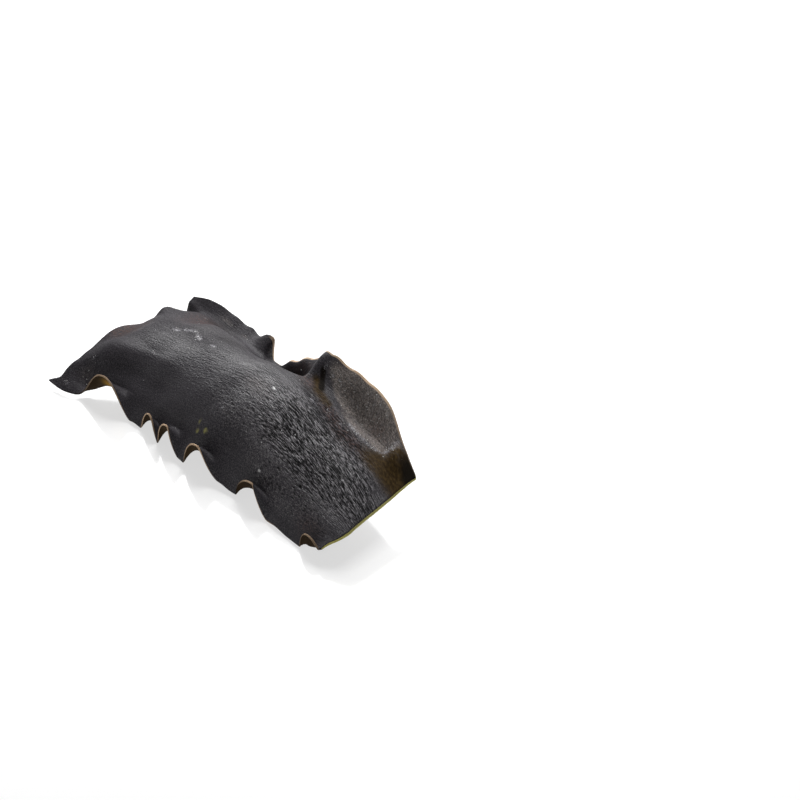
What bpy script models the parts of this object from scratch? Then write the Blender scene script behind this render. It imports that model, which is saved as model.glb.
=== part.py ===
"""Dried kelp strip: one thin stiff blade, arched, wavy at its rims and cut straight at one end.

Sizes are in millimetres until the mesh is written. X runs along the blade from the far end to
the cut end, Y across it from the left rim to the right rim, Z up from the table.
"""
from collections import namedtuple

import bpy
import numpy as np

MM = 0.001

# Cross-sections: the blade is a skin drawn smoothly through these, from the far end to the cut.
# Each gives the left rim, the crest of the broad middle band, the ridge where the band turns
# down, the height of the wing beyond it and the right rim, all before the rims are frilled.
Section = namedtuple(
    "Section", "x left_y left_z band_y band_z ridge_y ridge_z wing_z right_y right_z"
)
SECTIONS = (
    Section(3, 1.5, 1.5, 39, 15.5, 60, 17.8, 17.0, 75, 17),
    Section(15, 6, 0.3, 42, 21.5, 63, 22.5, 17.5, 78.5, 19),
    Section(36, 12, 0.5, 45, 25.5, 61, 26.5, 17.5, 80, 19),
    Section(58, 15, 0.2, 47, 28.5, 60, 28.5, 17.5, 79, 20),
    Section(80, 15, 0.9, 50, 31.5, 60, 29.0, 18, 76, 20.5),
    Section(98, 15.5, 2, 52, 33.5, 60, 31.5, 26, 75, 30),
    Section(116, 19.5, 1.5, 50, 31.5, 60, 29.5, 30.5, 75, 37.5),
    Section(136, 20.7, 0.5, 47, 25.5, 59, 24.5, 27.5, 75, 36.5),
    Section(154, 21.5, -0.1, 45, 19.5, 57, 20.3, 24, 72, 32.5),
    Section(164, 22.0, 1.0, 43, 16, 55, 18.5, 21, 68.8, 24.5),
    Section(173, 23, 6.3, 41, 12.7, 53, 14.5, 15.4, 67, 16),
)
SHOULDER_AT = 0.42      # the flank's bend between left rim and crest, as parts of the way across
SHOULDER_UP = 0.68      # and of the way up
WING_AT = 0.55          # the wing's middle, as parts of the way from ridge to right rim
# Where rim, shoulder, crest, ridge, wing and rim lie across the flat blade.
ACROSS_KNOTS = np.array([0.0, 0.28, 0.55, 0.73, 0.87, 1.0])
FLAT_WIDTH = 82.0       # width of the blade if it were pressed flat
CUT_BOW = 4.6           # how far the middle of the cut end stands out past its corners
CUT_BOW_AT = 0.34

# Frills of a rim. Place and half widths run along the rim, reach runs inwards from it.
# up, out and lean are the lift, the push away from the blade and the push along the rim. rise
# and fall push the side before the top and the side after it along the rim, so that a flute
# leans over like a breaking wave.
Frill = namedtuple("Frill", "rim at before after reach up out lean rise fall")
FRILLS = (
    Frill("left", 8, 8, 8, 12, 0, 1.6, 0, 0, 0),            # round end lobe that lies on the table
    Frill("left", 34, 20, 14, 11, 16.5, 0, 0, 0, 0),        # wide arch behind it
    Frill("left", 64, 8.4, 5, 6, 10.3, 0, 1.3, -1.1, 0),    # four narrower flutes
    Frill("left", 78.8, 9.6, 8, 9.5, 13.3, 0, 1.5, -1.9, -1.9),
    Frill("left", 100.4, 10, 10.5, 8, 12.8, 0, 1.8, -2.4, -1.8),
    Frill("left", 134.5, 13.5, 6.5, 9, 12.3, 0, -1.5, -3.3, -2.0),
    Frill("left", 165.4, 4.4, 6.0, 3.6, 6.6, 0, -0.6, -1.0, 1.0),   # small one beside the cut
    Frill("far", 0, 5, 5, 8, 0, 5, 0, 0, 0),                # pointed left corner of the far end
    Frill("far", 9, 4, 6, 14, 1, 0, 0, 0, 0),
    Frill("far", 34, 14, 14, 20, 4.6, 0, 0, 0, 0),
    Frill("far", 59, 6, 7, 9, 3.0, 0, 0, 0, 0),
    Frill("far", 69, 6, 3.5, 14, -5, 0, 0, 0, 0),           # notch beside the right corner
    Frill("right", 8, 30, 34, 11, 3.2, 0, 0, 0, 0),
    Frill("right", 50, 5, 6, 8, -1.3, 0, 0, 0, 0),
    Frill("right", 61, 9, 3.5, 8, 3.5, 0, 3.0, 0, 0),       # curled tip before the pocket
    Frill("right", 66, 3.2, 16, 9, -7.5, 0, -2.0, 0, 0),    # steep drop of the rim behind the pocket
    Frill("right", 109, 5, 12, 12, 2.8, 0, 0, 0, 0),        # spike, the highest point
)

# Dents and swellings of the skin, at a place along and across the flat blade.
Swelling = namedtuple("Swelling", "x across half_x half_across up sharp")
SWELLINGS = (
    Swelling(86, 68, 23, 13, -21.6, 0.85),  # deep pocket, whose bottom meets the table
    Swelling(109, 74, 5, 11, 4, 0.8),       # pleat that runs in from the spike
    Swelling(140, 72, 24, 10, -5, 1),       # bowl of the right lobe
    Swelling(165, 74, 6, 10, 2.5, 1),       # lip between the bowl and the cut
    Swelling(15, 11, 14, 11, -4.5, 1),      # end lobe pressed flat on the table
    Swelling(48, 20, 28, 12, -3.0, 1),      # hollow above the wide arch
    Swelling(20, 26, 24, 11, 2.8, 1),       # soft ridge that runs from the end lobe to the band
    Swelling(24, 59, 22, 10, -3.8, 1),      # dip behind the notch of the far end
    Swelling(9, 42, 12, 13, -2.0, 1),       # shallow trough between that ridge and the far end
)

# Slow buckles that no dried blade is without: wavelengths along and across, height, phase.
BUCKLES = ((47, 71, 0.4, 0.4), (-29, 41, 0.22, 2.1), (17, -67, 0.1, 4.0))
FRILL_FADE = 1.4        # how a frill dies out inwards, near 1 keeps its top level
FRILL_SHARP = 0.8       # below 1 makes its top broader
RIM_WAVE = 12.0         # wavelength of the small waves of both long rims
RIM_WAVE_UP = 0.45
RIM_WAVE_REACH = 9.0

BAND_THICK = 1.6        # thickness on the middle band
RIM_THICK = 0.75        # and at the long rims and the far end
CUT_THICK = 1.3         # and along the middle of the cut
RIM_BULGE = 0.25        # roundness of the natural rims, the cut has none

STATIONS = 100          # cells along
LANES = 24              # cells across
LANE_CROWDING = 0.45    # 0 spaces the lanes evenly, more draws them towards the rims

FAR, CUT = SECTIONS[0].x, SECTIONS[-1].x


def through(knots, values, at):
    """Smooth curve through one value per knot, read off at the given places."""
    knots = np.asarray(knots, float)
    rows = np.array([np.broadcast_to(value, at.shape) for value in values], float)
    slopes = np.gradient(rows, knots, axis=0)
    low = np.clip(np.searchsorted(knots, at) - 1, 0, len(knots) - 2)
    gap = knots[low + 1] - knots[low]
    u = (at - knots[low]) / gap

    def pick(table, index):
        return np.take_along_axis(table, index[None], axis=0)[0]

    return (
        (2 * u**3 - 3 * u**2 + 1) * pick(rows, low)
        + (u**3 - 2 * u**2 + u) * gap * pick(slopes, low)
        + (3 * u**2 - 2 * u**3) * pick(rows, low + 1)
        + (u**3 - u**2) * gap * pick(slopes, low + 1)
    )


def hill(distance, before, after, sharp=1.0):
    """1 at distance 0, falling smoothly to 0 at the half width on either side."""
    u = np.clip(np.where(distance < 0, distance / before, distance / after), -1, 1)
    return (0.5 + 0.5 * np.cos(np.pi * u)) ** sharp


def sides(distance, before, after, rise, fall):
    """rise and fall halfway down the two sides of a hill, 0 at its top and feet."""
    u = np.clip(np.where(distance < 0, distance / before, distance / after), -1, 1)
    return np.where(distance < 0, rise, fall) * np.sin(np.pi * np.abs(u))


def fade(inward, reach, power=2.0):
    """1 at the rim, 0 from the reach inwards."""
    return np.clip(1 - inward / reach, 0, 1) ** power


def skin_through_sections(x, across):
    """Y and Z of the plain skin, before frills and swellings."""
    stations = [section.x for section in SECTIONS]
    size = {
        name: through(stations, [getattr(section, name) for section in SECTIONS], x)
        for name in Section._fields[1:]
    }
    shoulder_y = size["left_y"] + SHOULDER_AT * (size["band_y"] - size["left_y"])
    shoulder_z = size["left_z"] + SHOULDER_UP * (size["band_z"] - size["left_z"])
    wing_y = size["ridge_y"] + WING_AT * (size["right_y"] - size["ridge_y"])
    ys = (size["left_y"], shoulder_y, size["band_y"], size["ridge_y"], wing_y, size["right_y"])
    zs = (size["left_z"], shoulder_z, size["band_z"], size["ridge_z"], size["wing_z"], size["right_z"])
    return through(ACROSS_KNOTS, ys, across), through(ACROSS_KNOTS, zs, across)


def frill(point, flat_x, flat_y):
    """Push the rims of the skin into their frills."""
    length = CUT - FAR
    from_rim = {"left": flat_y, "right": FLAT_WIDTH - flat_y, "far": flat_x - FAR}
    outwards = {"left": (1, -1), "right": (1, 1), "far": (0, -1)}
    for one in FRILLS:
        long_rim = one.rim != "far"
        along = flat_x if long_rim else point[..., 1]
        inwards = fade(from_rim[one.rim], one.reach, FRILL_FADE)
        weight = hill(along - one.at, one.before, one.after, FRILL_SHARP) * inwards
        side = sides(along - one.at, one.before, one.after, one.rise, one.fall) * inwards**2
        axis, sign = outwards[one.rim]
        point[..., axis] += sign * one.out * weight
        point[..., 1 - axis] += one.lean * weight + side
        point[..., 2] += one.up * weight
    near_rim = fade(flat_y, RIM_WAVE_REACH) - fade(FLAT_WIDTH - flat_y, RIM_WAVE_REACH)
    ease = hill((flat_x - FAR) / length - 0.5, 0.5, 0.5, 0.5)
    point[..., 2] += RIM_WAVE_UP * ease * near_rim * np.sin(2 * np.pi * flat_x / RIM_WAVE)


def swell(point, flat_x, flat_y):
    """Press in the pocket and the bowls, raise the pleat, and buckle the whole a little."""
    for one in SWELLINGS:
        away = np.hypot((flat_x - one.x) / one.half_x, (flat_y - one.across) / one.half_across)
        point[..., 2] += one.up * hill(away, 1, 1, one.sharp)
    for along, across, height, phase in BUCKLES:
        point[..., 2] += height * np.sin(2 * np.pi * (flat_x / along + flat_y / across) + phase)


def skin(s, t):
    """Middle of the blade's thickness; s runs 0 to 1 along it and t 0 to 1 across."""
    flat_x = FAR + s * (CUT - FAR)
    flat_y = t * FLAT_WIDTH
    y, z = skin_through_sections(flat_x, t)
    x = flat_x + CUT_BOW * s**4 * hill(t - CUT_BOW_AT, CUT_BOW_AT, 1 - CUT_BOW_AT)
    point = np.stack([x, y, z], axis=-1)
    frill(point, flat_x, flat_y)
    swell(point, flat_x, flat_y)
    return point


def thickness(s, t):
    """Thick on the middle band, thin at the rims, even along the cut."""
    band = RIM_THICK + (BAND_THICK - RIM_THICK) * np.sin(np.pi * t) ** 0.8
    end = fade(s * (CUT - FAR), 25.0)
    body = band + (RIM_THICK - band) * end
    cut = RIM_THICK + (CUT_THICK - RIM_THICK) * np.sin(np.pi * t) ** 0.5
    near = s**12
    return body + (cut - body) * near


def unit(vectors):
    return vectors / np.linalg.norm(vectors, axis=-1, keepdims=True)


def grid():
    """Places along and across the blade, drawn together towards the frilled rims."""
    along = np.linspace(0, 1, STATIONS + 1)
    even = np.linspace(0, 1, LANES + 1)
    across = even - LANE_CROWDING * np.sin(2 * np.pi * even) / (2 * np.pi)
    return np.meshgrid(along, across, indexing="ij")


def two_triangles(a, b, c, d, flip):
    """Split one cell; both faces of the blade use the same diagonal."""
    return ((a, c, b), (a, d, c)) if flip else ((a, b, c), (a, c, d))


def face_triangles(index, flip):
    triangles = []
    for i in range(STATIONS):
        for j in range(LANES):
            corners = (index[i, j], index[i + 1, j], index[i + 1, j + 1], index[i, j + 1])
            triangles.extend(two_triangles(*corners, flip))
    return triangles


def border():
    """Cells of the border in order: along the left rim, the cut, the right rim and the far end."""
    left = [(i, 0) for i in range(STATIONS)]
    cut = [(STATIONS, j) for j in range(LANES)]
    right = [(i, LANES) for i in range(STATIONS, 0, -1)]
    far = [(0, j) for j in range(LANES, 0, -1)]
    return left + cut + right + far


def rim_points(middle):
    """One point per border cell, pushed out where the rim is natural and rounded."""
    out_x = unit(np.gradient(middle, axis=0))
    out_y = unit(np.gradient(middle, axis=1))
    points = []
    for i, j in border():
        push = np.zeros(3)
        if i == 0:
            push -= out_x[i, j]
        if j == 0:
            push -= out_y[i, j]
        if j == LANES:
            push += out_y[i, j]
        scale = 0.0 if i == STATIONS else RIM_BULGE
        points.append(middle[i, j] + scale * push)
    return np.array(points)


def closed_blade():
    """Points and triangles of the closed solid, facing outwards."""
    s, t = grid()
    middle = skin(s, t)
    normal = unit(np.cross(np.gradient(middle, axis=0), np.gradient(middle, axis=1)))
    half = 0.5 * thickness(s, t)[..., None] * normal
    count = s.size
    index = np.arange(count).reshape(s.shape)
    points = np.concatenate([
        (middle + half).reshape(-1, 3),
        (middle - half).reshape(-1, 3),
        rim_points(middle),
    ])
    triangles = face_triangles(index, False) + face_triangles(index + count, True)
    ring = border()
    for k, cell in enumerate(ring):
        after = (k + 1) % len(ring)
        top, top_after = index[cell], index[ring[after]]
        rim, rim_after = 2 * count + k, 2 * count + after
        triangles.extend(two_triangles(top, rim, rim_after, top_after, False))
        triangles.extend(two_triangles(rim, top + count, top_after + count, rim_after, False))
    return points, triangles


def seat(points):
    """Put the middle of the footprint at the origin and the lowest point at height 0."""
    low, high = points.min(axis=0), points.max(axis=0)
    return points - np.array([(low[0] + high[0]) / 2, (low[1] + high[1]) / 2, low[2]])


def kelp_material():
    material = bpy.data.materials.new("kelp")
    material.use_nodes = True
    shader = material.node_tree.nodes["Principled BSDF"]
    shader.inputs["Base Color"].default_value = (0.040, 0.034, 0.032, 1.0)
    shader.inputs["Roughness"].default_value = 0.42
    material.diffuse_color = (0.040, 0.034, 0.032, 1.0)
    return material


def clear_scene():
    for thing in list(bpy.data.objects):
        bpy.data.objects.remove(thing, do_unlink=True)


def build():
    clear_scene()
    points, triangles = closed_blade()
    mesh = bpy.data.meshes.new("kelp_strip")
    mesh.from_pydata((seat(points) * MM).tolist(), [], [tuple(map(int, t)) for t in triangles])
    mesh.validate()
    mesh.shade_smooth()
    mesh.materials.append(kelp_material())
    strip = bpy.data.objects.new("kelp_strip", mesh)
    bpy.context.collection.objects.link(strip)


build()
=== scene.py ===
# %% [markdown]
# # Dried kelp strip
# Kelp is dried flat on the shore, and as it loses its water the thin rims shrink less than the
# thick middle, so the blade arches and its rims stand in frills. This lesson rebuilds one such
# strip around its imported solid. The solid comes in first and gives the box to stay in.

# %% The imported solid
from collections import namedtuple

import bpy
import numpy as np
from mathutils import Matrix, Vector


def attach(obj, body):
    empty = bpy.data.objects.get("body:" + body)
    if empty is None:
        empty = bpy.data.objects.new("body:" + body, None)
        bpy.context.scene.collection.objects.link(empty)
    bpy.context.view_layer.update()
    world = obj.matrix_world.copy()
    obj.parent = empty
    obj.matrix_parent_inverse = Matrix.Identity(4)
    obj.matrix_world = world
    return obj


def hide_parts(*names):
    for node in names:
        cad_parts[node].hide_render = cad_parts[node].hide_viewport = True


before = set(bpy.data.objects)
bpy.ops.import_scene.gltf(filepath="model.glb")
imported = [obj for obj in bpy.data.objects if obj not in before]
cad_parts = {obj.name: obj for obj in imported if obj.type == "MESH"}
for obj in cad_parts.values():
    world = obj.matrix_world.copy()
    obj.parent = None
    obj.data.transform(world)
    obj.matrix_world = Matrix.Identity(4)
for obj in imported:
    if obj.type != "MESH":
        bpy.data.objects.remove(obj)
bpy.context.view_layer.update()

MM = 0.001

# %% [markdown]
# ## The skin of the blade
# A leaf can be sculpted, draped as cloth or drawn through cross-sections. Cross-sections are
# used here: each names where the left rim, the crest of the broad middle band, the ridge where
# the band turns down, the wing beyond it and the right rim are, and a smooth curve runs through
# them. The solid was drawn in the same way, so this finer mesh lies on it everywhere. Sizes are
# in millimetres until the mesh is written.

# %% Cross-sections, from the far end to the cut
Section = namedtuple(
    "Section", "x left_y left_z band_y band_z ridge_y ridge_z wing_z right_y right_z"
)
SECTIONS = (
    Section(3, 1.5, 1.5, 39, 15.5, 60, 17.8, 17.0, 75, 17),
    Section(15, 6, 0.3, 42, 21.5, 63, 22.5, 17.5, 78.5, 19),
    Section(36, 12, 0.5, 45, 25.5, 61, 26.5, 17.5, 80, 19),
    Section(58, 15, 0.2, 47, 28.5, 60, 28.5, 17.5, 79, 20),
    Section(80, 15, 0.9, 50, 31.5, 60, 29.0, 18, 76, 20.5),
    Section(98, 15.5, 2, 52, 33.5, 60, 31.5, 26, 75, 30),
    Section(116, 19.5, 1.5, 50, 31.5, 60, 29.5, 30.5, 75, 37.5),
    Section(136, 20.7, 0.5, 47, 25.5, 59, 24.5, 27.5, 75, 36.5),
    Section(154, 21.5, -0.1, 45, 19.5, 57, 20.3, 24, 72, 32.5),
    Section(164, 22.0, 1.0, 43, 16, 55, 18.5, 21, 68.8, 24.5),
    Section(173, 23, 6.3, 41, 12.7, 53, 14.5, 15.4, 67, 16),
)
SHOULDER_AT = 0.42      # the flank's bend between left rim and crest, as parts of the way across
SHOULDER_UP = 0.68      # and of the way up
WING_AT = 0.55          # the wing's middle, as parts of the way from ridge to right rim
# Where rim, shoulder, crest, ridge, wing and rim lie across the flat blade.
ACROSS_KNOTS = np.array([0.0, 0.28, 0.55, 0.73, 0.87, 1.0])
FLAT_WIDTH = 82.0       # width of the blade if it were pressed flat
CUT_BOW = 4.6           # how far the middle of the cut end stands out past its corners
CUT_BOW_AT = 0.34       # where on the way across that middle lies
FAR, CUT = SECTIONS[0].x, SECTIONS[-1].x


def through(knots, values, at):
    """Smooth curve through one value per knot, read off at the given places."""
    knots = np.asarray(knots, float)
    rows = np.array([np.broadcast_to(value, at.shape) for value in values], float)
    slopes = np.gradient(rows, knots, axis=0)
    low = np.clip(np.searchsorted(knots, at) - 1, 0, len(knots) - 2)
    gap = knots[low + 1] - knots[low]
    u = (at - knots[low]) / gap

    def pick(table, index):
        return np.take_along_axis(table, index[None], axis=0)[0]

    return (
        (2 * u**3 - 3 * u**2 + 1) * pick(rows, low)
        + (u**3 - 2 * u**2 + u) * gap * pick(slopes, low)
        + (3 * u**2 - 2 * u**3) * pick(rows, low + 1)
        + (u**3 - u**2) * gap * pick(slopes, low + 1)
    )


def skin_through_sections(x, across):
    """Y and Z of the plain skin, before frills and swellings."""
    stations = [section.x for section in SECTIONS]
    size = {
        name: through(stations, [getattr(section, name) for section in SECTIONS], x)
        for name in Section._fields[1:]
    }
    shoulder_y = size["left_y"] + SHOULDER_AT * (size["band_y"] - size["left_y"])
    shoulder_z = size["left_z"] + SHOULDER_UP * (size["band_z"] - size["left_z"])
    wing_y = size["ridge_y"] + WING_AT * (size["right_y"] - size["ridge_y"])
    ys = (size["left_y"], shoulder_y, size["band_y"], size["ridge_y"], wing_y, size["right_y"])
    zs = (size["left_z"], shoulder_z, size["band_z"], size["ridge_z"], size["wing_z"], size["right_z"])
    return through(ACROSS_KNOTS, ys, across), through(ACROSS_KNOTS, zs, across)


print(len(SECTIONS), "cross-sections, from", FAR, "to", CUT, "mm")

# %% [markdown]
# ## Frills, pocket and bowls
# A rim that shrank less than the blade is too long for it and stands in frills. Cloth that
# shrinks would make some frills, but not these. So every frill is a hill along its rim that fades
# out inwards, with its own place and size.

# %% Frills of the rims
# Place and half widths run along the rim, reach runs inwards from it. up, out and lean are the
# lift, the push away from the blade and the push along the rim. rise and fall push the side
# before the top and the side after it along the rim, so that a flute leans like a breaking wave.
Frill = namedtuple("Frill", "rim at before after reach up out lean rise fall")
FRILLS = (
    Frill("left", 8, 8, 8, 12, 0, 1.6, 0, 0, 0),            # round end lobe that lies on the table
    Frill("left", 34, 20, 14, 11, 16.5, 0, 0, 0, 0),        # wide arch behind it
    Frill("left", 64, 8.4, 5, 6, 10.3, 0, 1.3, -1.1, 0),    # four narrower flutes
    Frill("left", 78.8, 9.6, 8, 9.5, 13.3, 0, 1.5, -1.9, -1.9),
    Frill("left", 100.4, 10, 10.5, 8, 12.8, 0, 1.8, -2.4, -1.8),
    Frill("left", 134.5, 13.5, 6.5, 9, 12.3, 0, -1.5, -3.3, -2.0),
    Frill("left", 165.4, 4.4, 6.0, 3.6, 6.6, 0, -0.6, -1.0, 1.0),   # small one beside the cut
    Frill("far", 0, 5, 5, 8, 0, 5, 0, 0, 0),                # pointed left corner of the far end
    Frill("far", 9, 4, 6, 14, 1, 0, 0, 0, 0),
    Frill("far", 34, 14, 14, 20, 4.6, 0, 0, 0, 0),
    Frill("far", 59, 6, 7, 9, 3.0, 0, 0, 0, 0),
    Frill("far", 69, 6, 3.5, 14, -5, 0, 0, 0, 0),           # notch beside the right corner
    Frill("right", 8, 30, 34, 11, 3.2, 0, 0, 0, 0),
    Frill("right", 50, 5, 6, 8, -1.3, 0, 0, 0, 0),
    Frill("right", 61, 9, 3.5, 8, 3.5, 0, 3.0, 0, 0),       # curled tip before the pocket
    Frill("right", 66, 3.2, 16, 9, -7.5, 0, -2.0, 0, 0),    # steep drop of the rim behind the pocket
    Frill("right", 109, 5, 12, 12, 2.8, 0, 0, 0, 0),        # spike, the highest point
)
FRILL_FADE = 1.4        # how a frill dies out inwards, near 1 keeps its top level
FRILL_SHARP = 0.8       # below 1 makes its top broader
RIM_WAVE = 12.0         # wavelength of the small waves of both long rims
RIM_WAVE_UP = 0.45
RIM_WAVE_REACH = 9.0


def hill(distance, before, after, sharp=1.0):
    """1 at distance 0, falling smoothly to 0 at the half width on either side."""
    u = np.clip(np.where(distance < 0, distance / before, distance / after), -1, 1)
    return (0.5 + 0.5 * np.cos(np.pi * u)) ** sharp


def sides(distance, before, after, rise, fall):
    """rise and fall halfway down the two sides of a hill, 0 at its top and feet."""
    u = np.clip(np.where(distance < 0, distance / before, distance / after), -1, 1)
    return np.where(distance < 0, rise, fall) * np.sin(np.pi * np.abs(u))


def fade(inward, reach, power=2.0):
    """1 at the rim, 0 from the reach inwards."""
    return np.clip(1 - inward / reach, 0, 1) ** power


def frill(point, flat_x, flat_y):
    """Push the rims of the skin into their frills."""
    length = CUT - FAR
    from_rim = {"left": flat_y, "right": FLAT_WIDTH - flat_y, "far": flat_x - FAR}
    outwards = {"left": (1, -1), "right": (1, 1), "far": (0, -1)}
    for one in FRILLS:
        long_rim = one.rim != "far"
        along = flat_x if long_rim else point[..., 1]
        inwards = fade(from_rim[one.rim], one.reach, FRILL_FADE)
        weight = hill(along - one.at, one.before, one.after, FRILL_SHARP) * inwards
        side = sides(along - one.at, one.before, one.after, one.rise, one.fall) * inwards**2
        axis, sign = outwards[one.rim]
        point[..., axis] += sign * one.out * weight
        point[..., 1 - axis] += one.lean * weight + side
        point[..., 2] += one.up * weight
    near_rim = fade(flat_y, RIM_WAVE_REACH) - fade(FLAT_WIDTH - flat_y, RIM_WAVE_REACH)
    ease = hill((flat_x - FAR) / length - 0.5, 0.5, 0.5, 0.5)
    point[..., 2] += RIM_WAVE_UP * ease * near_rim * np.sin(2 * np.pi * flat_x / RIM_WAVE)


print(len(FRILLS), "frills")

# %% [markdown]
# The same hill over a round patch presses in the deep pocket at the right rim and the shallow
# bowl of the lobe beside it, and raises the pleat between them. Long low waves buckle the whole.

# %% Pocket, bowls and slow buckles
Swelling = namedtuple("Swelling", "x across half_x half_across up sharp")
SWELLINGS = (
    Swelling(86, 68, 23, 13, -21.6, 0.85),  # deep pocket, whose bottom meets the table
    Swelling(109, 74, 5, 11, 4, 0.8),       # pleat that runs in from the spike
    Swelling(140, 72, 24, 10, -5, 1),       # bowl of the right lobe
    Swelling(165, 74, 6, 10, 2.5, 1),       # lip between the bowl and the cut
    Swelling(15, 11, 14, 11, -4.5, 1),      # end lobe pressed flat on the table
    Swelling(48, 20, 28, 12, -3.0, 1),      # hollow above the wide arch
    Swelling(20, 26, 24, 11, 2.8, 1),       # soft ridge that runs from the end lobe to the band
    Swelling(24, 59, 22, 10, -3.8, 1),      # dip behind the notch of the far end
    Swelling(9, 42, 12, 13, -2.0, 1),       # shallow trough between that ridge and the far end
)
BUCKLES = ((47, 71, 0.4, 0.4), (-29, 41, 0.22, 2.1), (17, -67, 0.1, 4.0))


def swell(point, flat_x, flat_y):
    """Press in the pocket and the bowls, raise the pleat, and buckle the whole a little."""
    for one in SWELLINGS:
        away = np.hypot((flat_x - one.x) / one.half_x, (flat_y - one.across) / one.half_across)
        point[..., 2] += one.up * hill(away, 1, 1, one.sharp)
    for along, across, height, phase in BUCKLES:
        point[..., 2] += height * np.sin(2 * np.pi * (flat_x / along + flat_y / across) + phase)


def skin(flat_x, flat_y):
    """Middle of the blade's thickness at a place of the flat blade."""
    s, t = (flat_x - FAR) / (CUT - FAR), flat_y / FLAT_WIDTH
    y, z = skin_through_sections(flat_x, t)
    x = flat_x + CUT_BOW * s**4 * hill(t - CUT_BOW_AT, CUT_BOW_AT, 1 - CUT_BOW_AT)
    point = np.stack([x, y, z], axis=-1)
    frill(point, flat_x, flat_y)
    swell(point, flat_x, flat_y)
    return point


print(len(SWELLINGS), "swellings,", len(BUCKLES), "buckles")

# %% [markdown]
# ## A fine grid
# The wrinkles of dried kelp run along the blade, about a millimetre apart and several long. So
# the cells are narrow across the blade and long along it. The underside lay on the ground and is
# hardly seen, so it takes every fourth lane. A rounded rim joins the two faces. Solidify could
# give the thickness too, but then the underside would be as fine as the upper face.

# %% Grid and thickness
STATIONS = 210          # cells along
LANES = 352             # cells across
COARSER = 4             # lanes of the upper face to one of the underside
RIM_ROWS = 3            # rows of the rounded rim between the two faces
WRINKLED_AT = 43.0      # the lanes are drawn together around the wrinkled middle
CROWDING = 0.22
BAND_THICK = 1.6        # thickness on the middle band
RIM_THICK = 0.75        # and at the long rims and the far end
CUT_THICK = 1.7         # and along the middle of the cut
THIN_FAR_END = 25.0     # length over which the far end thins
NEAR_CUT = 12           # powers that keep a change close to the cut
AT_CUT = 24

lane = np.linspace(0, 1, LANES + 1)
wave = np.sin(2 * np.pi * (lane - WRINKLED_AT / FLAT_WIDTH))
lane = FLAT_WIDTH * (lane - CROWDING / (2 * np.pi) * (wave - wave[0]))
flat_x, flat_y = np.meshgrid(np.linspace(FAR, CUT, STATIONS + 1), lane, indexing="ij")
middle = skin(flat_x, flat_y)


def thickness(s, t):
    """Thick on the middle band, thin at the rims, even along the cut."""
    band = RIM_THICK + (BAND_THICK - RIM_THICK) * np.sin(np.pi * t) ** 0.8
    end = fade(s * (CUT - FAR), THIN_FAR_END)
    body = band + (RIM_THICK - band) * end
    cut = RIM_THICK + (CUT_THICK - RIM_THICK) * np.sin(np.pi * t) ** 0.5
    return body + (cut - body) * s**NEAR_CUT


def unit(vectors):
    return vectors / np.linalg.norm(vectors, axis=-1, keepdims=True)


half = 0.5 * thickness((flat_x - FAR) / (CUT - FAR), flat_y / FLAT_WIDTH)
normal = np.cross(np.gradient(middle, axis=0), np.gradient(middle, axis=1))
normal[..., 0] *= 1 - ((flat_x - FAR) / (CUT - FAR)) ** AT_CUT     # the cut itself stands upright
normal = unit(normal)
print("grid of", flat_x.shape, "points, blade", round(2 * half.max(), 2), "mm thick at most")

# %% [markdown]
# ## Marks kept on the mesh
# The finishes need to know where on the blade they are, wherever it is bent. So each point
# carries its place on the flat blade, and masks from 0 to 1. Masks could be painted by hand, but
# a formula fits any grid and can be read. Three kinds of mark are enough: a round spot, a strip
# between two lines, and a stroke drawn through places.

# %% Helpers that paint a mask
def spot(x, across, half_x, half_across, sharp=1.0):
    """Soft round mask at a place of the flat blade."""
    away = np.hypot((flat_x - x) / half_x, (flat_y - across) / half_across)
    return hill(away, 1, 1, sharp)


def painted(*spots):
    """Several spots, each with its weight."""
    return np.clip(sum(weight * spot(*place) for weight, *place in spots), 0, 1)


def between(value, low, high, soft):
    """1 from low to high, with a soft edge on either side."""
    rise = np.clip((value - low) / soft + 0.5, 0, 1)
    fall = np.clip((high - value) / soft + 0.5, 0, 1)
    return (rise * fall) ** 2 * (3 - 2 * rise * fall)


def stroke(half_width, *places):
    """Soft line drawn through places of the flat blade."""
    nearest = np.full(flat_x.shape, np.inf)
    for (x, y), (next_x, next_y) in zip(places, places[1:]):
        run_x, run_y = next_x - x, next_y - y
        part = np.clip(((flat_x - x) * run_x + (flat_y - y) * run_y) / (run_x**2 + run_y**2), 0, 1)
        nearest = np.minimum(nearest, np.hypot(flat_x - x - part * run_x, flat_y - y - part * run_y))
    return hill(nearest / half_width, 1, 1)
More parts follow.
